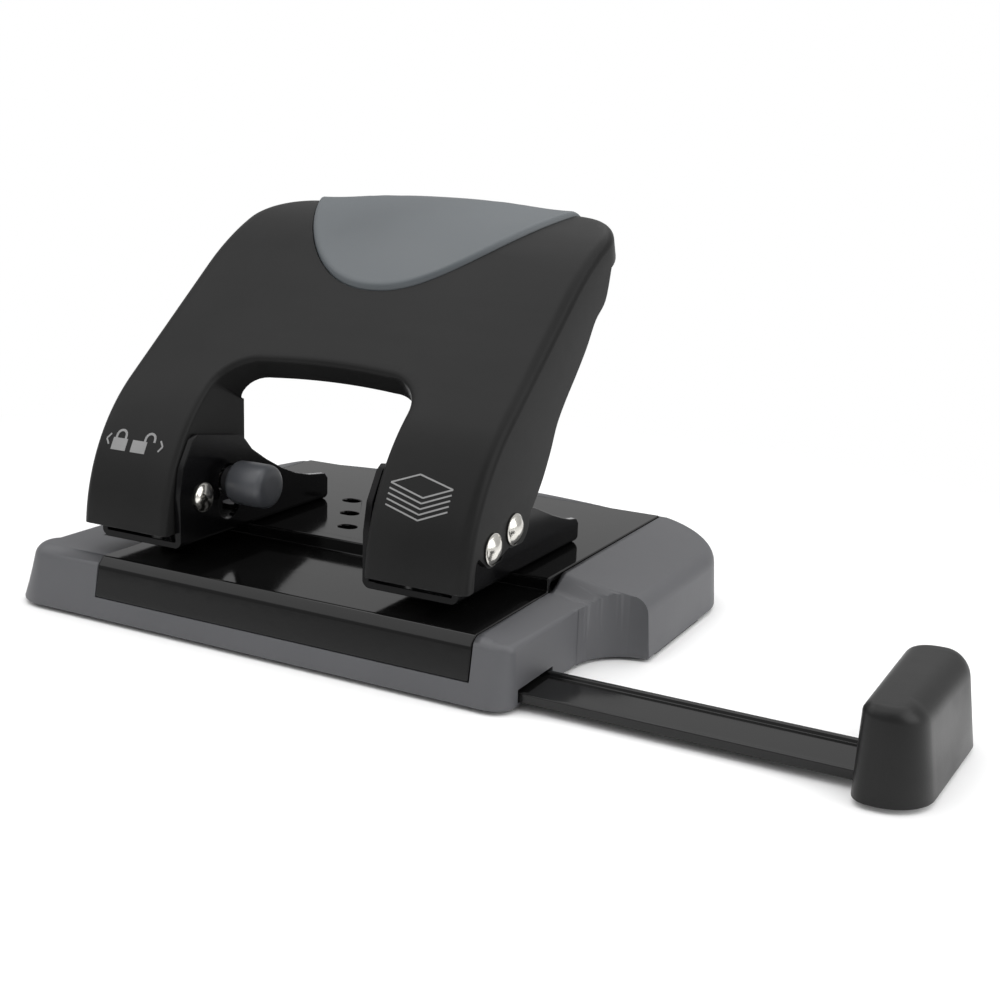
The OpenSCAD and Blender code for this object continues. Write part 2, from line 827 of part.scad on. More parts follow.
module guide_screws() color([0.75, 0.75, 0.76]) placed() {
    for (y = [bar_y + 3.5, bar_y + bar_w - 3.5])
        difference() {
            post([block_x + 4, y], bar_z - 0.5, 7.6, 1.05);
            translate([block_x + 4, y, bar_z - 0.5]) cube([1.6, 0.4, 0.6], center = true);
        }
}

base_body();
base_plate();
plate_nuts();
plate_screws();
rubber_feet();
bracket_left();
bracket_right();
bracket_rivets();
pivot_pin_left();
pivot_pin_right();
chip_tray();
guide_spring();
return_spring_left();
return_spring_right();
handle_shell();
handle_grip();
cutter_left();
cross_pin_left();
spring_cap_left();
cutter_right();
cross_pin_right();
spring_cap_right();
retaining_ring();
lock_knob();
lock_collar();
paper_guide();
guide_end_block();
guide_screws();
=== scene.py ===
import math

import bmesh
import bpy
from mathutils import Matrix, Vector
from mathutils.geometry import delaunay_2d_cdt, tessellate_polygon


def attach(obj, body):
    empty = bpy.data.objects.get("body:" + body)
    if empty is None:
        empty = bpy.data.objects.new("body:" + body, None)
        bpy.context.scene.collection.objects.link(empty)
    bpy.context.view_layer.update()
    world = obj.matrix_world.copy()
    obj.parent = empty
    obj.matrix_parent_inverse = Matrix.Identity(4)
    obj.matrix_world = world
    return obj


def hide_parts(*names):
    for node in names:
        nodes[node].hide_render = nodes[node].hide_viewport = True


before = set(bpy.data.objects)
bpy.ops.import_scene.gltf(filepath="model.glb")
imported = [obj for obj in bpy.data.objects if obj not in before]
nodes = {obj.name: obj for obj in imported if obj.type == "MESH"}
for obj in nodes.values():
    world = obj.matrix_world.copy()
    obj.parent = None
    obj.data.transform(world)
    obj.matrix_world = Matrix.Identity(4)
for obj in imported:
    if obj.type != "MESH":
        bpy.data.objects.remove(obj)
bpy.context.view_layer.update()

# The looks of a two-hole punch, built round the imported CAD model. Lengths are in
# millimetres, measured from the base's front edge, until at() turns them into metres.

scene = bpy.context.scene

FRONT_FOOT_Y = 10.5
MM = 0.001
FLAT_ANGLE = math.radians(0.4)

# Handle, seen from the side: two arcs joined by a straight length
ARC1_C = (49.2, 16.6)
ARC1_R = 44.0
ARC2_R = 69.0
SLOPE = math.radians(40)
TOP_SLOPE = math.radians(12.9)
STRAIGHT = 35.4
LEG_Z = 20.0
HALF_W = 47.2
LEG_IN = 24.4
CORNER_R = 14.0
EDGE_R = 2.2
SHEET_T = 1.5
PIVOT = (15.9, 26.8)
CROSS_PIN = (24.7, 28.8)
LOBE_R = 3.7
CORNER_DEPTH = 6.4
TOP_DEPTH = 5.2

# Side walls of the handle as (y, z): the rear edge downwards, and the end of the leg's foot
SIDE_WALL_REAR = [
    (64.1, 70.4), (59.4, 66.5), (55.5, 61.2), (51.0, 56.2), (46.2, 51.3),
    (42.6, 46.9), (40.1, 41.8), (37.3, 37.1), (34.6, 33.6), (32.0, 30.6),
]
LEG_FOOT_REAR = [(11.6, 25.4), (10.7, 26.0), (9.8, 25.5), (9.3, 24.0), (8.9, LEG_Z)]


def at(x, y, z):
    """A point in the part's frame, in metres."""
    return Vector((x, y - FRONT_FOOT_Y, z)) * MM


# ---------- small tools ----------

def link(name, mesh, body, replaced=()):
    """An object that rides on body and stands for the CAD nodes in replaced."""
    obj = bpy.data.objects.new(name, mesh)
    scene.collection.objects.link(obj)
    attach(obj, body)
    if replaced:
        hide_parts(*replaced)
    return obj


def mesh_of(name, verts, faces):
    mesh = bpy.data.meshes.new(name)
    mesh.from_pydata([tuple(v) for v in verts], [], faces)
    mesh.validate()
    return mesh


def tidy_mesh(mesh, sharp_angle=40.0, weld=1e-6):
    """Welds the mesh, turns its faces outwards and shades it smooth up to an angle."""
    bm = bmesh.new()
    bm.from_mesh(mesh)
    bmesh.ops.remove_doubles(bm, verts=bm.verts, dist=weld)
    bmesh.ops.recalc_face_normals(bm, faces=bm.faces)
    bm.to_mesh(mesh)
    bm.free()
    mesh.polygons.foreach_set("use_smooth", [True] * len(mesh.polygons))
    mesh.set_sharp_from_angle(angle=math.radians(sharp_angle))
    mesh.update()


def apply_modifiers(obj, sharp_angle=40.0):
    """Bakes the modifiers into the mesh; an angle of None leaves the shading alone."""
    graph = bpy.context.evaluated_depsgraph_get()
    mesh = bpy.data.meshes.new_from_object(
        obj.evaluated_get(graph), preserve_all_data_layers=True, depsgraph=graph
    )
    obj.modifiers.clear()
    obj.data = mesh
    if sharp_angle is not None:
        mesh.polygons.foreach_set("use_smooth", [True] * len(mesh.polygons))
        mesh.set_sharp_from_angle(angle=math.radians(sharp_angle))


def make_faces_whole(source, target, weld):
    """Writes mesh source to mesh target, welded and with the triangles of flat faces joined."""
    bm = bmesh.new()
    bm.from_mesh(source)
    bmesh.ops.remove_doubles(bm, verts=bm.verts, dist=weld)
    bmesh.ops.dissolve_limit(bm, angle_limit=FLAT_ANGLE, verts=bm.verts, edges=bm.edges)
    bm.to_mesh(target)
    bm.free()


def shade_by_large_faces(obj):
    """Lets the large flat faces of obj set the shading of the small ones beside them."""
    shading = obj.modifiers.new("shading", "WEIGHTED_NORMAL")
    shading.keep_sharp = True
    shading.weight = 80
    apply_modifiers(obj, None)


def cad_copy(node, name, body):
    """A copy of a CAD node whose flat faces are whole again, standing for that node."""
    mesh = bpy.data.meshes.new(name)
    make_faces_whole(nodes[node].data, mesh, 2e-6)
    return link(name, mesh, body, [node])


def keep_inside(obj, envelope):
    """Cuts obj down to what lies inside the closed mesh envelope."""
    tool = bpy.data.objects.new("envelope", envelope)
    scene.collection.objects.link(tool)
    cut = obj.modifiers.new("cut", "BOOLEAN")
    cut.operation = "INTERSECT"
    cut.solver = "EXACT"
    cut.object = tool
    apply_modifiers(obj)
    bpy.data.objects.remove(tool)


def smooth_faces(obj, sharp):
    """Shades obj smooth, apart from edges sharper than the angle given in degrees."""
    make_faces_whole(obj.data, obj.data, 8e-6)
    apply_modifiers(obj, sharp)
    shade_by_large_faces(obj)


def round_edges(obj, width, segments=3, sharp=35.0):
    """Rounds the edges of obj that are sharper than the angle given in degrees."""
    make_faces_whole(obj.data, obj.data, 4e-6)
    bevel = obj.modifiers.new("edges", "BEVEL")
    bevel.width = width * MM
    bevel.segments = segments
    bevel.limit_method = "ANGLE"
    bevel.angle_limit = math.radians(sharp)
    bevel.use_clamp_overlap = False
    bevel.miter_outer = "MITER_ARC"
    apply_modifiers(obj, 60)
    shade_by_large_faces(obj)


def paint(obj, material):
    obj.data.materials.clear()
    obj.data.materials.append(material)


def lathe(name, profile, centre, axis_sign, body, replaced=(), segments=48):
    """Turns a profile of (distance along X, radius) points round the X axis through centre."""
    verts = []
    faces = []
    count = len(profile)
    for step in range(segments):
        a = 2 * math.pi * step / segments
        for along, r in profile:
            verts.append(at(centre[0] + axis_sign * along, centre[1] + r * math.cos(a),
                            centre[2] + r * math.sin(a)))
    for step in range(segments):
        here = step * count
        there = ((step + 1) % segments) * count
        for k in range(count - 1):
            faces.append((here + k, there + k, there + k + 1, here + k + 1))
    mesh = mesh_of(name, verts, faces)
    tidy_mesh(mesh, 50)
    return link(name, mesh, body, replaced)


def arc(cx, cy, r, a0, a1, steps):
    """Points on a circle from angle a0 to a1, in degrees."""
    return [
        (cx + r * math.cos(math.radians(a0 + (a1 - a0) * k / steps)),
         cy + r * math.sin(math.radians(a0 + (a1 - a0) * k / steps)))
        for k in range(steps + 1)
    ]


# ---------- the handle's face ----------

ARC1_L = ARC1_R * (math.pi / 2 - SLOPE)
ARC1_END = (ARC1_C[0] - ARC1_R * math.sin(SLOPE), ARC1_C[1] + ARC1_R * math.cos(SLOPE))
ARC2_START = (ARC1_END[0] + STRAIGHT * math.cos(SLOPE), ARC1_END[1] + STRAIGHT * math.sin(SLOPE))
ARC2_C = (ARC2_START[0] + ARC2_R * math.sin(SLOPE), ARC2_START[1] - ARC2_R * math.cos(SLOPE))
STRAIGHT_END = ARC1_L + STRAIGHT
FACE_TOP = STRAIGHT_END + ARC2_R * (SLOPE - TOP_SLOPE)
FACE_FOOT = ARC1_R * math.asin((LEG_Z - ARC1_C[1]) / ARC1_R)


def profile(s):
    """The face's side view at arc length s: a point and the outward normal, as (y, z)."""
    if s < ARC1_L:
        a = math.pi - s / ARC1_R
        n = (math.cos(a), math.sin(a))
        return (ARC1_C[0] + ARC1_R * n[0], ARC1_C[1] + ARC1_R * n[1]), n
    if s < STRAIGHT_END:
        d = s - ARC1_L
        n = (-math.sin(SLOPE), math.cos(SLOPE))
        return (ARC1_END[0] + d * math.cos(SLOPE), ARC1_END[1] + d * math.sin(SLOPE)), n
    a = math.pi / 2 + SLOPE - (s - STRAIGHT_END) / ARC2_R
    n = (math.cos(a), math.sin(a))
    return (ARC2_C[0] + ARC2_R * n[0], ARC2_C[1] + ARC2_R * n[1]), n


def on_face(x, s, height=0.0):
    """The point at x and arc length s, raised by height above the handle's face."""
    (y, z), n = profile(s)
    return at(x, y + height * n[0], z + height * n[1])


def step_up(value, start, end):
    """Rises smoothly from 0 at start to 1 at end."""
    t = min(max((value - start) / (end - start), 0.0), 1.0)
    return t * t * (3 - 2 * t)


def outward(points, closed=False):
    """Unit normals of a polyline, to the right of its direction."""
    result = []
    count = len(points)
    for i, p in enumerate(points):
        a = points[i - 1] if i > 0 or closed else p
        b = points[(i + 1) % count] if i < count - 1 or closed else p
        d = (b[0] - a[0], b[1] - a[1])
        length = math.hypot(*d)
        result.append((d[1] / length, -d[0] / length))
    return result


def spread(p, q, steps):
    """Points from p up to, but not including, q."""
    return [(p[0] + (q[0] - p[0]) * k / steps, p[1] + (q[1] - p[1]) * k / steps) for k in range(steps)]


def outer_outline():
    """The face's outer edge as (x, s), from the right foot over the top to the left foot."""
    top = FACE_TOP
    return (
        spread((HALF_W, FACE_FOOT), (HALF_W, top - CORNER_R), 60)
        + arc(HALF_W - CORNER_R, top - CORNER_R, CORNER_R, 0, 90, 16)[:-1]
        + spread((HALF_W - CORNER_R, top), (CORNER_R - HALF_W, top), 24)
        + arc(CORNER_R - HALF_W, top - CORNER_R, CORNER_R, 90, 180, 16)[:-1]
        + spread((-HALF_W, top - CORNER_R), (-HALF_W, FACE_FOOT), 60)
        + [(-HALF_W, FACE_FOOT)]
    )


OPENING_R = 9.0
OPENING_TOP = ARC1_L + 8.6
OPENING_BOW = 0.8
LIP_R = 1.3
LIP_DEPTH = 6.0
INNER_WALL_CORNER = (32.5, 45.5)
INNER_WALL_REAR = [(32.5, 34.0), (32.2, 32.0), (31.2, 30.6)]


def opening_outline():
    """The hand opening's edge as (x, s), from the left foot over its top to the right foot."""
    side = OPENING_TOP - OPENING_R
    flat = LEG_IN - OPENING_R
    top = []
    for k in range(20):
        x = -flat + 2 * flat * k / 20
        top.append((x, OPENING_TOP + OPENING_BOW * (1 - (x / flat) ** 2)))
    return (
        spread((-LEG_IN, FACE_FOOT), (-LEG_IN, side), 28)
        + arc(-flat, side, OPENING_R, 180, 90, 12)[:-1]
        + top
        + arc(flat, side, OPENING_R, 90, 0, 12)[:-1]
        + spread((LEG_IN, side), (LEG_IN, FACE_FOOT), 28)
        + [(LEG_IN, FACE_FOOT)]
    )


GRIP_W = 34.6
GRIP_LOW = 69.4
GRIP_RISE = 36.2
GRIP_POWER = 2.15
GRIP_RECESS = 0.6


def grip_edge(x, inset=0.0):
    """Arc length of the grip's curved edge at x."""
    return GRIP_LOW + inset + GRIP_RISE * abs(x / GRIP_W) ** GRIP_POWER


class Shell:
    """Collects vertices and faces of one thin sheet."""

    def __init__(self):
        self.verts = []
        self.faces = []

    def add(self, point):
        self.verts.append(point)
        return len(self.verts) - 1

    def ring(self, points):
        return [self.add(p) for p in points]

    def bridge(self, a, b):
        for k in range(len(a) - 1):
            self.faces.append((a[k], a[k + 1], b[k + 1], b[k]))

    def fill(self, outline, holes=()):
        """Fills a flat outline of points, less its holes."""
        loops = [list(outline)] + [list(h) for h in holes]
        flat = [p for loop in loops for p in loop]
        base = len(self.verts)
        self.verts.extend(flat)
        for tri in tessellate_polygon(loops):
            self.faces.append(tuple(base + i for i in tri))


def normals_about(outline, centre_s, away):
    """Normals of an outline in (x, s) that point away from (0, centre_s), or towards it."""
    sign = 1 if away else -1
    result = []
    for (a, b), p in zip(outward(outline), outline):
        agrees = sign * (p[0] * a + (p[1] - centre_s) * b) >= 0
        result.append((a, b) if agrees else (-a, -b))
    return result


def inset_points(outline, normals, inset):
    return [(p[0] - n[0] * inset, p[1] - n[1] * inset) for p, n in zip(outline, normals)]


def smooth_curve(points, steps):
    """A Catmull-Rom curve through points."""
    result = []
    count = len(points)
    for i in range(count - 1):
        p0 = points[max(i - 1, 0)]
        p1 = points[i]
        p2 = points[i + 1]
        p3 = points[min(i + 2, count - 1)]
        for k in range(steps):
            t = k / steps
            result.append(tuple(
                0.5 * (2 * b + (c - a) * t + (2 * a - 5 * b + 4 * c - d) * t * t
                       + (3 * b - a - 3 * c + d) * t ** 3)
                for a, b, c, d in zip(p0, p1, p2, p3)
            ))
    result.append(tuple(points[-1]))
    return result


def point_in(poly, p):
    """Whether p lies inside the polygon."""
    inside = False
    j = len(poly) - 1
    for i in range(len(poly)):
        if (poly[i][1] > p[1]) != (poly[j][1] > p[1]):
            cut = (poly[j][0] - poly[i][0]) * (p[1] - poly[i][1]) / (poly[j][1] - poly[i][1]) + poly[i][0]
            if p[0] < cut:
                inside = not inside
        j = i
    return inside


def face_sheet(shell, outer, opening):
    """The front face between the outer edge and the hand opening, with the grip's recess."""
    step = 1.6
    rim_s = FACE_TOP - EDGE_R
    grip_steps = 48
    widest = GRIP_W * ((rim_s - GRIP_LOW) / GRIP_RISE) ** (1 / GRIP_POWER)
    recess = []
    for inset in (0.0, 0.35):
        line = []
        for k in range(grip_steps + 1):
            x = -widest + 2 * widest * k / grip_steps
            line.append((x, min(grip_edge(x, inset), rim_s - 0.02)))
        recess.append(line)
    loop = outer + opening
    points = list(loop)
    edges = [(k, k + 1) for k in range(len(loop) - 1)] + [(len(loop) - 1, 0)]
    for line in recess:
        start = len(points)
        points += line
        edges += [(start + k, start + k + 1) for k in range(len(line) - 1)]
    rows = int((FACE_TOP - FACE_FOOT) / step)
    columns = int(2 * HALF_W / step)
    for i in range(1, rows):
        for j in range(1, columns):
            p = (-HALF_W + j * step + 0.3, FACE_FOOT + i * step)
            if point_in(loop, p):
                points.append(p)
    found, _, tris, _, _, _ = delaunay_2d_cdt([Vector(p) for p in points], edges, [], 0, 0.02)
    base = len(shell.verts)
    for p in found:
        depth = 0.0
        if p.y > grip_edge(p.x, 0.2) and abs(p.x) < widest:
            depth = GRIP_RECESS
        shell.add(on_face(p.x, p.y, -depth))
    for tri in tris:
        middle = sum((found[i] for i in tri), Vector((0, 0))) / len(tri)
        if point_in(loop, middle):
            shell.faces.append(tuple(base + i for i in tri))


def rounded_rim(shell, outline, normals, radius, steps=6):
    """The rounded edge from the face round to the wall. Returns its last row, on the wall."""
    rows = []
    for k in range(steps + 1):
        a = math.pi / 2 * k / steps
        line = inset_points(outline, normals, radius * (1 - math.sin(a)))
        rows.append(shell.ring([on_face(x, s, -radius * (1 - math.cos(a))) for x, s in line]))
    for a, b in zip(rows, rows[1:]):
        shell.bridge(a, b)
    return rows[-1]


def circle_at(x, centre, r, steps=32):
    """A circle round centre = (y, z) in the plane of one x."""
    return [at(x, y, z) for y, z in arc(centre[0], centre[1], r, 0, 360, steps)[:-1]]


def pin_holes(x):
    """The two holes of a side wall, a little wider than the pins."""
    return [circle_at(x, PIVOT, 2.55), circle_at(x, CROSS_PIN, 2.35)]


def side_wall_lower_edge():
    """The (y, z) edge that runs from the rear round the two pins to the leg's foot."""
    y, z = CROSS_PIN
    return (
        arc(y + 2.4, z + 0.4, LOBE_R + 0.6, 0, -70, 8)
        + arc(y, z, LOBE_R, -80, -118, 5)
        + arc(PIVOT[0], PIVOT[1], LOBE_R, -50, -140, 10)
        + smooth_curve(LEG_FOOT_REAR, 5)
    )


def make_handle():
    """The pressed handle: face, rims, top wall and the two walls of each leg, as one sheet."""
    shell = Shell()
    outer = outer_outline()
    outer_n = normals_about(outer, 55, away=True)
    opening = opening_outline()
    opening_n = normals_about(opening, 20, away=False)
    face_sheet(shell, inset_points(outer, outer_n, EDGE_R), inset_points(opening, opening_n, LIP_R))
    wall = rounded_rim(shell, outer, outer_n, EDGE_R)
    lip = rounded_rim(shell, opening, opening_n, LIP_R, 5)
    # Lip round the top of the hand opening; below it the legs' inner walls take over
    side_top = OPENING_TOP - OPENING_R
    count = sum(1 for x, s in opening if x < 0 and s <= side_top + 1e-6)
    inner_edge = []
    for x, s in opening[count - 1:len(opening) - count + 1]:
        t = step_up(s, side_top, OPENING_TOP)
        inner_edge.append(at(x, *INNER_WALL_CORNER).lerp(on_face(x, s, -LIP_DEPTH), t))
    deep = shell.ring(inner_edge)
    shell.bridge(lip[count - 1:len(lip) - count + 1], deep)
    # Top wall and the two rounded corners; its rear edge runs into the side walls'
    side_end = FACE_TOP - CORNER_R
    first = next(k for k, p in enumerate(outer) if p[1] >= side_end - 1e-6)
    last = max(k for k, p in enumerate(outer) if p[1] >= side_end - 1e-6)
    rear = []
    for k in range(first, last + 1):
        x, s = outer[k]
        t = step_up(s, side_end, FACE_TOP)
        rear.append(on_face(x, s, -(CORNER_DEPTH + (TOP_DEPTH - CORNER_DEPTH) * t)))
    shell.bridge(wall[first:last + 1], shell.ring(rear))
    # Side walls: flat, with the holes for the two pins
    corner = rear[0] / MM
    start = (corner.y + FRONT_FOOT_Y, corner.z)
    edge = smooth_curve([start] + SIDE_WALL_REAR, 5)
    lower = side_wall_lower_edge()
    for side in (1, -1):
        rim = wall[:first + 1] if side > 0 else list(reversed(wall[last:]))
        x = side * HALF_W
        outline = [shell.verts[k] for k in rim]
        outline += [at(x, y, z) for y, z in edge]
        outline += [at(x, y, z) for y, z in lower]
        shell.fill(outline, pin_holes(x))
        # Inner wall of the leg, which carries the pins too
        x = side * LEG_IN
        rim = list(reversed(lip[-count:])) + [deep[-1]] if side > 0 else lip[:count] + [deep[0]]
        outline = [shell.verts[k] for k in rim]
        outline += [at(x, y, z) for y, z in INNER_WALL_REAR]
        outline += [at(x, y, z) for y, z in lower]
        shell.fill(outline, pin_holes(x))
    mesh = mesh_of("handle_pressing", shell.verts, shell.faces)
    tidy_mesh(mesh, 40, weld=2e-6)
    obj = link("handle_pressing", mesh, "handle", ["handle_shell"])
    thick = obj.modifiers.new("sheet", "SOLIDIFY")
    thick.thickness = SHEET_T * MM
    thick.offset = -1
    thick.use_even_offset = True
    apply_modifiers(obj, 40)
    return obj


# ---------- the grip ----------

def over_top(x, e, height):
    """Like on_face, but e runs on over the handle's rounded top edge and down its rear wall."""
    rim = FACE_TOP - EDGE_R
    if e <= rim:
        return on_face(x, e, height)
    a = (e - rim) / EDGE_R
    (y, z), n = profile(rim)
    t = (n[1], -n[0])
    if a > math.pi / 2:
        down = (a - math.pi / 2) * EDGE_R
        a = math.pi / 2
    else:
        down = 0.0
    r = EDGE_R + height
    along = r * math.sin(a)
    rise = r * math.cos(a) - EDGE_R - down
    return at(x, y + along * t[0] + rise * n[0], z + along * t[1] + rise * n[1])


def make_grip():
    """The pad over the handle's top edge, slightly crowned and with rounded rims."""
    columns = 72
    rows = 44
    gap = 0.2
    proud = 1.0
    crown = 1.5
    edge_r = 1.3
    rear_wrap = 1.6
    crown_reach = 34.0
    end = FACE_TOP - EDGE_R + EDGE_R * math.pi / 2 + rear_wrap
    verts = []
    faces = []
    for i in range(columns + 1):
        u = -1 + 2 * i / columns
        x = (GRIP_W - gap) * math.sin(u * math.pi / 2)
        low = grip_edge(x, gap)
        for j in range(rows + 1):
            v = j / rows
            e = low + (end - low) * (v ** 1.5 * 0.6 + 0.4 * (1 - (1 - v) ** 1.6))
            slant = math.hypot(1, GRIP_POWER * GRIP_RISE / GRIP_W * abs(x / GRIP_W) ** (GRIP_POWER - 1))
            d = min((e - low) / slant, end - e, edge_r)
            lift = math.sqrt(max(0.0, 1 - (1 - d / edge_r) ** 2))
            middle = min(1.0, max(0.0, (e - low) / crown_reach))
            bulge = crown * (1 - math.cos(middle * math.pi)) / 2 * (1 - (x / GRIP_W) ** 2)
            verts.append(over_top(x, e, -GRIP_RECESS + (GRIP_RECESS + proud) * lift + bulge))
    for i in range(columns):
        for j in range(rows):
            a = i * (rows + 1) + j
            b = a + rows + 1
            faces.append((a, b, b + 1, a + 1))
    mesh = mesh_of("grip_pad", verts, faces)
    tidy_mesh(mesh, 60)
    obj = link("grip_pad", mesh, "handle", ["handle_grip"])
    thick = obj.modifiers.new("pad", "SOLIDIFY")
    thick.thickness = 0.5 * MM
    thick.offset = -1
    apply_modifiers(obj, 60)
    return obj


# ---------- mouldings with rounded rims ----------

class Outline:
    """A plan outline, counter-clockwise, whose points carry the wall's lean and the top edge's radius."""

    def __init__(self):
        self.points = []

    def line(self, p, q, lean, radius, steps):
        for k in range(steps):
            t = k / steps
            self.points.append((p[0] + (q[0] - p[0]) * t, p[1] + (q[1] - p[1]) * t,
                                lean[0] + (lean[1] - lean[0]) * t, radius[0] + (radius[1] - radius[0]) * t))

    def arc(self, centre, r, a0, a1, lean, radius, steps):
        for k in range(steps):
            t = k / steps
            ease = t * t * (3 - 2 * t)
            a = math.radians(a0 + (a1 - a0) * t)
            self.points.append((centre[0] + r * math.cos(a), centre[1] + r * math.sin(a),
                                lean[0] + (lean[1] - lean[0]) * ease,
                                radius[0] + (radius[1] - radius[0]) * ease))


def moulding_mesh(name, outline, floor, height_at, full_height, shrink=0.0, grid=2.5, foot_r=0.5, rows_y=()):
    """A closed solid over a plan outline: leaning walls, a rounded top edge and a top surface
    at height_at(x, y). A wall's lean is how far it comes in by full_height. rows_y adds rows of
    vertices to the top where its height changes quickly."""
    normals = outward([(p[0], p[1]) for p in outline.points], closed=True)
    count = len(outline.points)
    rim_rows = 8
    rings = [[] for _ in range(6 + rim_rows)]
    for (x, y, lean, r), (nx, ny) in zip(outline.points, normals):
        slope = lean / full_height
        top = full_height
        for _ in range(5):
            inset = slope * top + r + shrink
            top = height_at(x - nx * inset, y - ny * inset)
        straight = top - r - floor - foot_r
        steps = [(floor, foot_r), (floor + 0.3 * foot_r, 0.3 * foot_r)]
        steps += [(floor + foot_r + straight * share, 0.0) for share in (0.0, 0.35, 0.7, 1.0)]
        for k in range(1, rim_rows + 1):
            a = math.pi / 2 * k / rim_rows
            steps.append((top - r + r * math.sin(a), r * (1 - math.cos(a))))
        for ring, (z, extra) in zip(rings, steps):
            inset = slope * z + extra + shrink
            ring.append((x - nx * inset, y - ny * inset, z))
    verts = [at(*p) for ring in rings for p in ring]
    faces = []
    for k in range(len(rings) - 1):
        a, b = k * count, (k + 1) * count
        faces += [(a + i, a + (i + 1) % count, b + (i + 1) % count, b + i) for i in range(count)]
    faces.append(tuple(reversed(range(count))))
    # The top: the last ring is its rim
    rim_start = (len(rings) - 1) * count
    rim = [(p[0], p[1]) for p in rings[-1]]
    points = list(rim)
    x0, x1 = min(p[0] for p in rim), max(p[0] for p in rim)
    y0, y1 = min(p[1] for p in rim), max(p[1] for p in rim)
    for y in [y0 + j * grid for j in range(1, int((y1 - y0) / grid))] + list(rows_y):
        for i in range(1, int((x1 - x0) / grid)):
            p = (x0 + i * grid, y)
            if point_in(rim, p):
                points.append(p)
    loop = [(k, (k + 1) % count) for k in range(count)]
    found, _, tris, sources, _, _ = delaunay_2d_cdt([Vector(p) for p in points], loop, [], 0, 1e-5)
    number = []
    for p, source in zip(found, sources):
        on_rim = [k for k in source if k < count]
        if on_rim:
            number.append(rim_start + on_rim[0])
        else:
            number.append(len(verts))
            verts.append(at(p.x, p.y, height_at(p.x, p.y)))
    for tri in tris:
        middle = sum((found[i] for i in tri), Vector((0, 0))) / len(tri)
        if point_in(rim, middle):
            faces.append(tuple(number[i] for i in tri))
    mesh = mesh_of(name, verts, faces)
    tidy_mesh(mesh, 40)
    return mesh


def extruded(name, section, axis, low, high):
    """A closed prism: section holds (y, z) points for axis X, or (x, z) points for axis Y."""
    count = len(section)
    verts = []
    for d in (low, high):
        verts += [at(d, a, b) if axis == "X" else at(a, d, b) for a, b in section]
    faces = [tuple(range(count)), tuple(reversed(range(count, 2 * count)))]
    faces += [(k, count + k, count + (k + 1) % count, (k + 1) % count) for k in range(count)]
    mesh = mesh_of(name, verts, faces)
    tidy_mesh(mesh, 40)
    return mesh


PLATE_X = 51.0
PLATE_Z = 13.9
RAISED_Z = 16.8
STOP_Y = 34.2
PLATE_REAR_Y = 95.2
BASE_LEFT = -65.7
BASE_FRONT_RIGHT = 59.2
BASE_RIGHT = 70.5
BASE_DEPTH = 97.0
REAR_CORNER_R = 18.0
NOTCH_Y = 31.0
CLEAR = 0.06


def base_height(x, y):
    """Top of the base moulding, just inside the CAD model's."""
    edge = PLATE_X + 1.5
    side_z = RAISED_Z - 0.2
    side = side_z - max(abs(x) - edge, 0.0) * (side_z - 13.2) / (BASE_RIGHT - edge)
    front = PLATE_Z - max(x - edge, 0.0) * (PLATE_Z + 0.4 - 13.2) / (BASE_FRONT_RIGHT - edge)
    z = front + (side - front) * step_up(y, STOP_Y, STOP_Y + 7)
    if y > PLATE_REAR_Y and abs(x) < edge:
        z = side_z + 0.9 * min(1.0, (edge + x) / 22.5, (edge - x) / 32.5)
    return min(z, side if y > STOP_Y else front) - CLEAR


def base_outline():
    """The base's plan, without the finger notch, which the CAD model cuts."""
    left, right, front_right, depth = BASE_LEFT, BASE_RIGHT, BASE_FRONT_RIGHT, BASE_DEPTH
    corner = 9.6
    front_corner = 4.8
    notch_corner = 6.0
    lean_left, lean_front, lean_right, lean_rear = 6.1, 2.4, 1.0, 0.6
    rear = REAR_CORNER_R
    o = Outline()
    o.arc((left + corner, corner), corner, 180, 270, (lean_left, lean_front), (3.0, 2.4), 14)
    o.line((left + corner, 0), (front_right - front_corner, 0), (lean_front, lean_front), (2.4, 1.8), 60)
    o.arc((front_right - front_corner, front_corner), front_corner, 270, 360,
          (lean_front, 0.4), (1.8, 1.5), 12)
    o.line((front_right, front_corner), (front_right, NOTCH_Y), (0.4, 0.2), (1.5, 0.5), 16)
    o.line((front_right, NOTCH_Y), (right - notch_corner, NOTCH_Y), (0.2, 0.2), (0.5, 0.5), 4)
    o.arc((right - notch_corner, NOTCH_Y + notch_corner), notch_corner, 270, 360,
          (0.2, lean_right), (0.5, 3.6), 10)
    o.line((right, NOTCH_Y + notch_corner), (right, depth - rear), (lean_right, lean_right), (3.6, 3.6), 26)
    o.arc((right - rear, depth - rear), rear, 0, 90, (lean_right, lean_rear), (3.6, 1.0), 26)
    rise, half, middle = 5.0, 42.0, -2.0
    r = (half * half + rise * rise) / (2 * rise)
    spread_a = math.degrees(math.asin(half / r))
    o.line((right - rear, depth), (middle + half, depth), (lean_rear, lean_rear), (1.0, 1.0), 5)
    o.arc((middle, depth + rise - r), r, 90 - spread_a, 90 + spread_a,
          (lean_rear, lean_rear), (1.0, 1.0), 40)
    o.line((middle - half, depth), (left + rear, depth), (lean_rear, lean_rear), (1.0, 1.0), 3)
    o.arc((left + rear, depth - rear), rear, 90, 180, (lean_rear, lean_left), (1.0, 3.0), 26)
    o.line((left, depth - rear), (left, corner), (lean_left, lean_left), (3.0, 3.0), 26)
    return o


def make_base():
    """The CAD base cut down to a moulding with rounded rims and a soft ramp beside the plate."""
    obj = cad_copy("base_body", "base_moulding", "base")
    ramp = [STOP_Y - 1 + 0.6 * k for k in range(15)]
    envelope = moulding_mesh(
        "base_envelope", base_outline(), 0.8, base_height, 14.0, CLEAR, rows_y=ramp
    )
    keep_inside(obj, envelope)
    smooth_faces(obj, 32)
    return obj


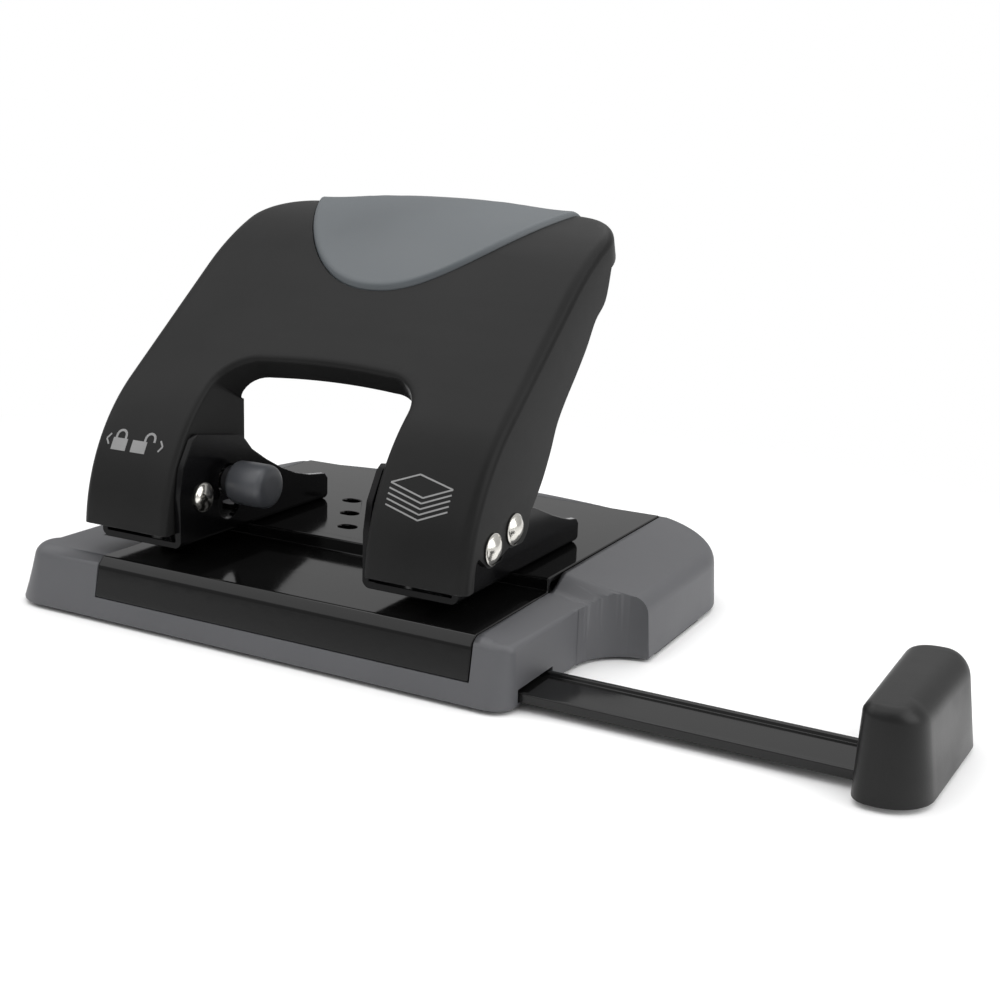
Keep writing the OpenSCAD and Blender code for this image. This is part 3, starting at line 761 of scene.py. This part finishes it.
def make_plate():
    """The steel plate, with a rounded fold where its skirt turns down in front."""
    fold_r = 0.7
    gap = 0.25
    section = [(0.92, 5.0), (2.21, 11.53)]
    section += arc(2.55 + fold_r, PLATE_Z - fold_r, fold_r, 168, 90, 9)
    section += [(STOP_Y, PLATE_Z), (STOP_Y, 30.0), (100.0, 30.0), (100.0, 5.0)]
    obj = cad_copy("base_plate", "steel_plate", "base")
    keep_inside(obj, extruded("plate_envelope", section, "X", gap - PLATE_X, PLATE_X - gap))
    round_edges(obj, 0.32, 3, 38)
    return obj


def make_bracket(side):
    """A punch bracket; the sheet's bends from cheek to floor are rounded outside."""
    x0, x1, z0, bend = 22.55, 44.25, RAISED_Z - 0.02, 1.8
    section = (
        arc(x0 + bend, z0 + bend, bend, 180, 270, 6) + arc(x1 - bend, z0 + bend, bend, 270, 360, 6)
        + [(x1, 60.0), (x0, 60.0)]
    )
    section = [(side * x, z) for x, z in section]
    if side < 0:
        section.reverse()
    word = "right" if side > 0 else "left"
    obj = cad_copy("bracket_" + word, "punch_bracket_" + word, "base")
    keep_inside(obj, extruded("bracket_envelope", section, "Y", 0, 90))
    round_edges(obj, 0.18, 2, 38)
    return obj


def make_guide_stop():
    """The end block of the paper guide: square towards the punch, well rounded elsewhere."""
    x0, x1, y0, y1 = 122.0, 136.4, -1.0, 39.2
    near_r, nose_r, rear_r, tail_r = 3.4, 8.5, 7.4, 7.0
    bulge = 1.5
    inner, outer, ends, tail = 0.5, 2.6, 0.8, 1.2
    o = Outline()
    o.arc((x0 + near_r, y0 + near_r), near_r, 180, 270, (inner, ends), (1.6, 2.2), 8)
    o.arc((x1 - bulge - nose_r, y0 + nose_r), nose_r, 272, 357, (ends, outer), (2.4, 3.8), 16)
    o.line((x1 - bulge, y0 + nose_r), (x1, y1 - rear_r), (outer, outer), (3.8, 3.8), 16)
    o.arc((x1 - rear_r, y1 - rear_r), rear_r, 3, 90, (outer, tail), (3.8, 3.4), 14)
    o.arc((x0 + tail_r, y1 - tail_r), tail_r, 91, 180, (tail, inner), (3.4, 2.4), 14)
    o.line((x0, y1 - tail_r), (x0, y0 + near_r), (inner, inner), (2.4, 1.6), 16)
    mesh = moulding_mesh("guide_stop", o, 0.9, lambda x, y: 17.6, 17.6, grid=1.2, foot_r=0.3)
    return link("guide_stop", mesh, "guide", ["guide_end_block"])


def make_guide_bar():
    """The paper guide's bar: a flat strip with a rail along its rear edge and a low lip in front."""
    y0, y1, z0, top = 5.7, 19.9, 1.7, 3.2
    rail, lip = 0.7, 0.35
    section = [
        (y0, z0), (y1, z0), (y1, top), (y1 - 0.9, top), (y1 - 1.15, top + rail), (y1 - 2.25, top + rail),
        (y1 - 2.5, top), (y0 + 1.4, top), (y0 + 1.1, top + lip), (y0 + 0.15, top + lip),
        (y0, top + lip - 0.15),
    ]
    mesh = extruded("guide_bar", section, "X", 6, 124)
    obj = link("guide_bar", mesh, "guide", ["paper_guide"])
    round_edges(obj, 0.14, 2, 25)
    return obj


# ---------- turned pieces ----------

HEAD_R = 3.2
HEAD_H = 1.6
HEAD_X = HALF_W + 0.08
TAIL_H = 0.35
BRACKET_IN = 22.6
PIVOT_PIN_R = 2.5
CROSS_PIN_R = 2.0
KNOB_PIN_IN = 14.9


def head_profile(x, direction, height=HEAD_H):
    """A rivet's head from its underside at x out to the middle of its dome."""
    rim = 0.3 if height > 1 else 0.1
    dome = height - rim
    dome_edge = HEAD_R - 0.08
    dome_r = (dome_edge ** 2 + dome ** 2) / (2 * dome)
    points = [(x, HEAD_R - 0.15), (x + direction * 0.1, HEAD_R), (x + direction * rim, HEAD_R)]
    steps = 9
    a0 = math.asin(dome_edge / dome_r)
    for k in range(steps + 1):
        a = a0 * (1 - k / steps)
        along = height - dome_r + dome_r * math.cos(a)
        points.append((x + direction * along, max(dome_r * math.sin(a), 0.0)))
    return points


def make_pin(name, side, centre, r, inner_x, body, node, inner_head=False, groove=None):
    """A pin through one leg, from inner_x out to its head; groove is where a ring sits."""
    inner = [(inner_x, 0.0), (inner_x, r - 0.3), (inner_x + 0.3, r)]
    if inner_head:
        inner = list(reversed(head_profile(inner_x, -1)))
    if groove:
        inner += [(groove, r), (groove, r - 0.4), (groove + 0.8, r - 0.4), (groove + 0.8, r)]
    # The left-hand pins are closed low on the outside, the right-hand ones carry a full dome there
    head = head_profile(HEAD_X, 1, HEAD_H if side > 0 else TAIL_H)
    return lathe(name, inner + [(HEAD_X, r)] + head, (0, *centre), side, body, [node])


def make_knob():
    """The knob on the left cross pin, with a rounded face."""
    x, r, length = 20.4, 4.75, 9.4
    edge = 1.6
    points = [(x, 0.0), (x, r - 0.9), (x - 0.25, r - 0.3), (x - 0.9, r)]
    points += [(x - length * 0.55, r + 0.05)]
    points += [(x - length + edge - edge * math.sin(math.radians(a)),
                r - edge + edge * math.cos(math.radians(a)))
               for a in range(0, 76, 15)]
    points += [(x - length + 0.05, r * 0.45), (x - length, 0.0)]
    return lathe("lock_knob_turned", points, (0, *CROSS_PIN), -1, "lock", ["lock_knob"], 64)


# ---------- printed symbols ----------

class Print:
    """Flat shapes lying on the handle's face, in (x, s), a few hundredths of a millimetre thick."""

    THICK = 0.05

    def __init__(self):
        self.verts = []
        self.faces = []

    def quad(self, corners):
        base = len(self.verts)
        for height in (-0.02, self.THICK):
            self.verts += [on_face(x, s, height) for x, s in corners]
        self.faces += [tuple(base + i for i in f) for f in (
            (3, 2, 1, 0), (4, 5, 6, 7), (0, 1, 5, 4), (1, 2, 6, 5), (2, 3, 7, 6), (3, 0, 4, 7))]

    def stroke(self, points, width):
        for p, q in zip(points, points[1:]):
            length = math.hypot(q[0] - p[0], q[1] - p[1])
            if length < 1e-6:
                continue
            n = ((q[1] - p[1]) / length * width / 2, -(q[0] - p[0]) / length * width / 2)
            steps = max(1, int(length))
            for k in range(steps):
                a, b = k / steps, (k + 1) / steps
                u = (p[0] + (q[0] - p[0]) * a, p[1] + (q[1] - p[1]) * a)
                v = (p[0] + (q[0] - p[0]) * b, p[1] + (q[1] - p[1]) * b)
                self.quad([(u[0] + n[0], u[1] + n[1]), (v[0] + n[0], v[1] + n[1]),
                           (v[0] - n[0], v[1] - n[1]), (u[0] - n[0], u[1] - n[1])])

    def block(self, x0, x1, s0, s1):
        strips = 4
        for k in range(strips):
            a = s0 + (s1 - s0) * k / strips
            b = s0 + (s1 - s0) * (k + 1) / strips
            self.quad([(x0, a), (x1, a), (x1, b), (x0, b)])

    def finish(self, name):
        mesh = mesh_of(name, self.verts, self.faces)
        mesh.update()
        return link(name, mesh, "handle")


def make_lock_symbols():
    """A closed and an open padlock between two arrows."""
    line = 0.55
    ink = Print()
    ink.block(-42.3, -38.4, 19.9, 22.6)
    ink.stroke([(-41.6, 22.6), (-41.6, 23.2)] + arc(-40.35, 23.2, 1.25, 180, 0, 8) + [(-39.1, 22.6)], line)
    ink.block(-37.0, -33.1, 19.9, 22.6)
    ink.stroke([(-33.8, 22.6), (-33.8, 23.3)] + arc(-32.55, 23.3, 1.25, 180, 0, 8) + [(-31.3, 22.7)], line)
    ink.stroke([(-43.2, 23.3), (-44.1, 22.1), (-43.2, 20.9)], 0.4)
    ink.stroke([(-29.7, 23.3), (-28.8, 22.1), (-29.7, 20.9)], 0.4)
    return ink.finish("lock_symbols")


def make_stack_symbol():
    """A plain stack of five sheets."""
    line = 0.32
    left, top, right, low = (27.4, 22.6), (33.2, 25.0), (41.0, 23.0), (35.1, 20.5)
    ink = Print()
    ink.stroke([left, top, right, low, left], line)
    for k in range(1, 5):
        drop = 1.1 * k
        ink.stroke([(p[0], p[1] - drop) for p in (left, low, right)], line)
    return ink.finish("sheet_stack_symbol")


# ---------- camera, floor and light ----------

def add_camera():
    """The camera in front of the object and to its right, tilted a little."""
    azimuth, elevation, roll = (math.radians(a) for a in (27.247, 14.183, 2.071))
    back = Vector((
        math.sin(azimuth) * math.cos(elevation),
        -math.cos(azimuth) * math.cos(elevation),
        math.sin(elevation),
    ))
    level = Vector((math.cos(azimuth), math.sin(azimuth), 0))
    above = back.cross(level)
    right = level * math.cos(roll) + above * math.sin(roll)
    up = above * math.cos(roll) - level * math.sin(roll)
    data = bpy.data.cameras.new("camera")
    data.lens = 50.985
    data.sensor_width = 36
    data.clip_start = 0.01
    camera = bpy.data.objects.new("camera", data)
    scene.collection.objects.link(camera)
    place = at(167.22, -214.71, 102.29)
    camera.matrix_world = Matrix((
        (right.x, up.x, back.x, place.x),
        (right.y, up.y, back.y, place.y),
        (right.z, up.z, back.z, place.z),
        (0, 0, 0, 1),
    ))
    scene.camera = camera


def area_light(name, place, target, size, power, size_y=None):
    data = bpy.data.lights.new(name, "AREA")
    data.shape = "RECTANGLE"
    data.size = size
    data.size_y = size_y or size
    data.energy = power
    light = bpy.data.objects.new(name, data)
    scene.collection.objects.link(light)
    light.location = place
    light.rotation_euler = (Vector(target) - Vector(place)).to_track_quat("-Z", "Y").to_euler()


def add_world():
    """A white room: the camera sees plain white, and the object is lit by a soft gradient."""
    world = bpy.data.worlds.new("studio")
    world.use_nodes = True
    tree = world.node_tree
    background = tree.nodes["Background"]
    direction = tree.nodes.new("ShaderNodeTexCoord")
    parts = tree.nodes.new("ShaderNodeSeparateXYZ")
    ramp = tree.nodes.new("ShaderNodeMapRange")
    path = tree.nodes.new("ShaderNodeLightPath")
    strength = tree.nodes.new("ShaderNodeMix")
    for socket, value in (("From Min", -0.1), ("From Max", 0.9), ("To Min", 0.46), ("To Max", 0.66)):
        ramp.inputs[socket].default_value = value
    tree.links.new(direction.outputs["Generated"], parts.inputs[0])
    tree.links.new(parts.outputs["Z"], ramp.inputs["Value"])
    tree.links.new(path.outputs["Is Camera Ray"], strength.inputs[0])
    tree.links.new(ramp.outputs["Result"], strength.inputs[2])
    strength.inputs[3].default_value = 1.0
    tree.links.new(strength.outputs[0], background.inputs["Strength"])
    background.inputs["Color"].default_value = (1.0, 1.0, 1.0, 1.0)
    scene.world = world


def add_lights():
    middle = (0.03, 0.03, 0.03)
    area_light("key", (-0.45, -0.35, 0.75), middle, 1.0, 4.0)
    area_light("top", (0.1, 0.25, 0.9), middle, 1.3, 6.0)
    area_light("side", (0.85, 0.05, 0.45), middle, 0.7, 3.5)


def add_floor():
    """A pale floor that turns into the backdrop's plain white away from the object."""
    half = 3
    corners = [(-half, -half, 0), (half, -half, 0), (half, half, 0), (-half, half, 0)]
    mesh = mesh_of("floor", corners, [(0, 1, 2, 3)])
    floor = bpy.data.objects.new("floor", mesh)
    scene.collection.objects.link(floor)
    material = bpy.data.materials.new("floor_white")
    material.use_nodes = True
    tree = material.node_tree
    bsdf = tree.nodes["Principled BSDF"]
    bsdf.inputs["Base Color"].default_value = (0.93, 0.93, 0.93, 1)
    bsdf.inputs["Roughness"].default_value = 0.9
    bsdf.inputs["Specular IOR Level"].default_value = 0.1
    place = tree.nodes.new("ShaderNodeTexCoord")
    reach = tree.nodes.new("ShaderNodeVectorMath")
    reach.operation = "LENGTH"
    fade = tree.nodes.new("ShaderNodeMapRange")
    fade.interpolation_type = "SMOOTHSTEP"
    fade.inputs["From Min"].default_value = 0.10
    fade.inputs["From Max"].default_value = 0.26
    white = tree.nodes.new("ShaderNodeEmission")
    blend = tree.nodes.new("ShaderNodeMixShader")
    tree.links.new(place.outputs["Object"], reach.inputs[0])
    tree.links.new(reach.outputs["Value"], fade.inputs["Value"])
    tree.links.new(fade.outputs["Result"], blend.inputs[0])
    tree.links.new(bsdf.outputs[0], blend.inputs[1])
    tree.links.new(white.outputs[0], blend.inputs[2])
    tree.links.new(blend.outputs[0], tree.nodes["Material Output"].inputs["Surface"])
    paint(floor, material)


# ---------- materials ----------

class Nodes:
    """Builds one material's node tree."""

    def __init__(self, name):
        self.material = bpy.data.materials.new(name)
        self.material.use_nodes = True
        self.tree = self.material.node_tree
        self.bsdf = self.tree.nodes["Principled BSDF"]
        self.place = self.add("ShaderNodeTexCoord").outputs["Object"]

    def add(self, kind, **settings):
        node = self.tree.nodes.new(kind)
        for key, value in settings.items():
            setattr(node, key, value)
        return node

    def wire(self, a, b):
        self.tree.links.new(a, b)

    def noise(self, scale, detail=3.0, rough=0.5, stretch=None):
        """Noise with features about 1/scale metres across, drawn out along an axis by stretch."""
        source = self.place
        if stretch:
            mapping = self.add("ShaderNodeMapping")
            mapping.inputs["Scale"].default_value = stretch
            self.wire(source, mapping.inputs["Vector"])
            source = mapping.outputs["Vector"]
        noise = self.add("ShaderNodeTexNoise")
        noise.inputs["Scale"].default_value = scale
        noise.inputs["Detail"].default_value = detail
        noise.inputs["Roughness"].default_value = rough
        self.wire(source, noise.inputs["Vector"])
        return noise.outputs["Fac"]

    def span(self, value, low, high, out_low, out_high):
        """Maps value from low..high to out_low..out_high, clamped."""
        node = self.add("ShaderNodeMapRange")
        limits = {"From Min": low, "From Max": high, "To Min": out_low, "To Max": out_high}
        for key, number in limits.items():
            node.inputs[key].default_value = number
        self.wire(value, node.inputs["Value"])
        return node.outputs["Result"]

    def math(self, kind, a, b):
        node = self.add("ShaderNodeMath", operation=kind)
        for socket, value in zip(node.inputs, (a, b)):
            if isinstance(value, (int, float)):
                socket.default_value = value
            else:
                self.wire(value, socket)
        return node.outputs[0]

    def mix(self, factor, a, b):
        """Mixes two colours, each an (r, g, b) or a socket."""
        node = self.add("ShaderNodeMix", data_type="RGBA")
        self.wire(factor, node.inputs[0])
        for socket, value in ((node.inputs[6], a), (node.inputs[7], b)):
            if isinstance(value, tuple):
                socket.default_value = (*value, 1)
            else:
                self.wire(value, socket)
        return node.outputs[2]

    def bump(self, height, distance, strength=1.0, below=None):
        node = self.add("ShaderNodeBump")
        node.inputs["Distance"].default_value = distance * MM
        node.inputs["Strength"].default_value = strength
        self.wire(height, node.inputs["Height"])
        if below:
            self.wire(below, node.inputs["Normal"])
        return node.outputs["Normal"]

    def edges(self, radius):
        """Near 1 on edges sharper than radius millimetres, and 0 on flat faces."""
        bevel = self.add("ShaderNodeBevel", samples=6)
        bevel.inputs["Radius"].default_value = radius * MM
        geometry = self.add("ShaderNodeNewGeometry")
        dot = self.add("ShaderNodeVectorMath", operation="DOT_PRODUCT")
        self.wire(bevel.outputs["Normal"], dot.inputs[0])
        self.wire(geometry.outputs["Normal"], dot.inputs[1])
        return self.span(dot.outputs["Value"], 0.97, 0.75, 0.0, 1.0)

    def set(self, socket, value):
        if isinstance(value, (int, float)):
            self.bsdf.inputs[socket].default_value = value
        elif isinstance(value, tuple):
            self.bsdf.inputs[socket].default_value = (*value, 1)
        else:
            self.wire(value, self.bsdf.inputs[socket])


def moulded(name, colour, rough, specular=0.5, grain=0.03, grain_scale=2600, wear=0.12):
    """Moulded plastic: fine spark-eroded grain, cloudy gloss and edges rubbed a little paler."""
    n = Nodes(name)
    cloud = n.noise(55, 4)
    fine = n.noise(grain_scale, 2, 0.6)
    specks = n.noise(9000, 1)
    worn = n.math("MULTIPLY", n.edges(0.5), n.span(n.noise(400, 4), 0.42, 0.62, 0.0, 1.0))
    dark = tuple(c * 0.93 for c in colour)
    light = tuple(min(1, c * 1.05) for c in colour)
    rubbed = tuple(min(1, c * (1 + wear) + wear * 0.06) for c in colour)
    body = n.mix(n.span(cloud, 0.3, 0.7, 0.0, 1.0), dark, light)
    speckled = n.mix(n.span(specks, 0.62, 0.8, 0.0, 0.5), body, dark)
    n.set("Base Color", n.mix(worn, speckled, rubbed))
    n.set("Roughness", n.math("ADD", n.span(cloud, 0.3, 0.7, rough - 0.05, rough + 0.06),
                              n.math("MULTIPLY", worn, -0.08)))
    n.set("Normal", n.bump(fine, grain, 0.6))
    n.set("IOR", 1.49)
    n.set("Specular IOR Level", specular)
    return n.material


def enamel(name, colour, rough, specular=0.5, peel=0.012, wear=0.4, dust=0.3):
    """Baked enamel on steel: slight orange peel, faint wiping marks and edges worn to the primer."""
    n = Nodes(name)
    peel_height = n.noise(420, 2, 0.4)
    wipes = n.noise(260, 3, 0.6, stretch=(0.15, 1.0, 1.0))
    cloud = n.noise(38, 5)
    fleck = n.noise(5200, 2)
    worn = n.math("MULTIPLY", n.edges(0.35), n.span(n.noise(700, 5), 0.5, 0.66, 0.0, wear))
    body = n.mix(n.span(cloud, 0.35, 0.7, 0.0, 1.0), colour, tuple(c * 1.2 + 0.001 for c in colour))
    dusted = n.mix(n.span(fleck, 0.72, 0.82, 0.0, dust * 0.1), body, (0.2, 0.2, 0.2))
    n.set("Base Color", n.mix(worn, dusted, (0.12, 0.12, 0.122)))
    patchy = n.span(cloud, 0.3, 0.75, rough - 0.03, rough + 0.04)
    n.set("Roughness", n.math("ADD", patchy, n.span(wipes, 0.4, 0.8, 0.0, 0.04)))
    n.set("Normal", n.bump(peel_height, peel, 0.5))
    n.set("Specular IOR Level", specular)
    return n.material


def metal(name, colour, rough, scratch=0.25, stretch=(1.0, 0.05, 1.0), bump=0.004):
    """Plated or ground steel: fine directional scratches, dull patches and darker pits."""
    n = Nodes(name)
    lines = n.noise(6000, 3, 0.6, stretch=stretch)
    cloud = n.noise(260, 4)
    pits = n.noise(3400, 2)
    tarnish = tuple(c * 0.72 for c in colour)
    body = n.mix(n.span(cloud, 0.35, 0.75, 0.0, 0.7), colour, tarnish)
    n.set("Base Color", n.mix(n.span(pits, 0.66, 0.8, 0.0, 0.6), body, tuple(c * 0.45 for c in colour)))
    n.set("Metallic", 1.0)
    n.set("Roughness", n.math("ADD", n.span(cloud, 0.3, 0.7, rough, rough + 0.1),
                              n.span(lines, 0.4, 0.75, 0.0, scratch)))
    n.set("Normal", n.bump(lines, bump, 0.5))
    return n.material


def rubber(name, colour):
    """Matt rubber with pale dust in its grain."""
    n = Nodes(name)
    grain = n.noise(1800, 4, 0.7)
    dust = n.noise(300, 4)
    dusty = tuple(c * 2.2 + 0.02 for c in colour)
    n.set("Base Color", n.mix(n.span(dust, 0.5, 0.75, 0.0, 0.5), colour, dusty))
    n.set("Roughness", n.span(grain, 0.3, 0.7, 0.78, 0.92))
    n.set("Normal", n.bump(grain, 0.05, 0.6))
    return n.material


GREY = moulded("grey_moulding", (0.080, 0.081, 0.087), 0.50)
GRIP = moulded("grip_moulding", (0.080, 0.091, 0.099), 0.44, grain=0.02)
KNOB = moulded("knob_moulding", (0.058, 0.061, 0.068), 0.38, grain=0.015)
TRAY = moulded("tray_moulding", (0.070, 0.075, 0.082), 0.5)
BLOCK = moulded("black_satin_moulding", (0.006, 0.006, 0.006), 0.36, specular=0.28, grain=0.02)
BAR = moulded("black_gloss_moulding", (0.005, 0.005, 0.005), 0.12, specular=0.36, grain=0.004)
GLOSS = enamel("gloss_black_enamel", (0.0025, 0.0025, 0.0025), 0.08, specular=0.27)
BRACKET = enamel("bracket_enamel", (0.0025, 0.0025, 0.0028), 0.16, specular=0.12)
SATIN = enamel("satin_black_enamel", (0.0125, 0.0125, 0.0125), 0.33, specular=0.08, peel=0.010)
NICKEL = metal("bright_nickel", (0.80, 0.78, 0.73), 0.10, scratch=0.12)
ZINC = metal("zinc_plate", (0.62, 0.63, 0.65), 0.28)
OXIDE = metal("black_oxide", (0.09, 0.09, 0.095), 0.35)
SPRING = metal("spring_wire", (0.66, 0.67, 0.68), 0.22)
TOOL = metal("ground_tool_steel", (0.72, 0.72, 0.74), 0.16, stretch=(1.0, 1.0, 0.04))
RUBBER = rubber("foot_rubber", (0.018, 0.018, 0.018))
INK = moulded("grey_print", (0.22, 0.22, 0.22), 0.5, grain=0.002, wear=0.05)

CAD_LOOKS = {
    "plate_nuts": ZINC, "plate_screws": ZINC, "rubber_feet": RUBBER, "bracket_rivets": OXIDE,
    "guide_spring": SPRING, "return_spring_left": SPRING, "return_spring_right": SPRING,
    "cutter_left": TOOL, "cutter_right": TOOL, "spring_cap_left": ZINC, "spring_cap_right": ZINC,
    "retaining_ring": ZINC, "guide_screws": ZINC, "lock_collar": OXIDE,
}


for node, material in CAD_LOOKS.items():
    paint(nodes[node], material)
tray = cad_copy("chip_tray", "chip_tray_moulding", "tray")
round_edges(tray, 0.2, 2)
paint(tray, TRAY)
paint(make_base(), GREY)
paint(make_plate(), GLOSS)
for side in (-1, 1):
    paint(make_bracket(side), BRACKET)
paint(make_guide_bar(), BAR)
paint(make_guide_stop(), BLOCK)
paint(make_handle(), SATIN)
paint(make_grip(), GRIP)
paint(make_lock_symbols(), INK)
paint(make_stack_symbol(), INK)
paint(make_knob(), KNOB)
for word, side in (("left", -1), ("right", 1)):
    pivot = make_pin("pivot_rivet_" + word, side, PIVOT, PIVOT_PIN_R, BRACKET_IN,
                     "base", "pivot_pin_" + word, inner_head=True)
    paint(pivot, NICKEL)
left_pin = make_pin("cross_rivet_left", -1, CROSS_PIN, CROSS_PIN_R, KNOB_PIN_IN,
                    "cutter_unit_left", "cross_pin_left")
paint(left_pin, NICKEL)
right_pin = make_pin("cross_rivet_right", 1, CROSS_PIN, CROSS_PIN_R, BRACKET_IN - 2,
                     "cutter_unit_right", "cross_pin_right", groove=BRACKET_IN - 1.2)
paint(right_pin, NICKEL)

add_camera()
add_world()
add_lights()
add_floor()
scene.view_settings.view_transform = "Standard"
scene.view_settings.look = "None"
